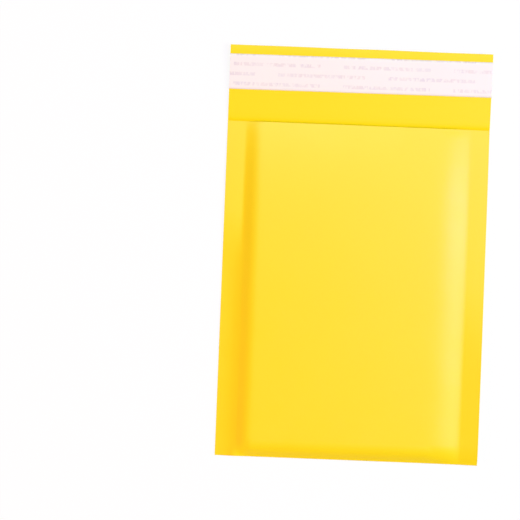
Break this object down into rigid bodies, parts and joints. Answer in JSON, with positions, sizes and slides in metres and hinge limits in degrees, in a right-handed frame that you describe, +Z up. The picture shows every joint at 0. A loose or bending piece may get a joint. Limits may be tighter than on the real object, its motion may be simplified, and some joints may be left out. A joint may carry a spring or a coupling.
{
  "type": "padded envelope",
  "caption": "Flat padded mailing envelope in yellow kraft paper with a bubble-film pocket, flat side seals and an open flap with a covered glue strip.",
  "frame": {"origin": "centre of the envelope's outline, on the surface that its back lies on", "axes": "+Z up out of the front panel, +Y from the bottom fold towards the flap, X across the width"},
  "size_m": [0.18, 0.282, 0.0058],
  "materials": {
    "kraft_paper": "smooth satin",
    "bubble_film": "clear, slightly milky",
    "hot_melt_glue": "glossy and tacky",
    "release_paper": "smooth silicone-coated"
  },
  "bodies": {
    "root": {"kraft_envelope": "kraft_paper", "bubble_liner": "bubble_film", "adhesive_strip": "hot_melt_glue", "release_strip": "release_paper"}
  },
  "joints": []
}
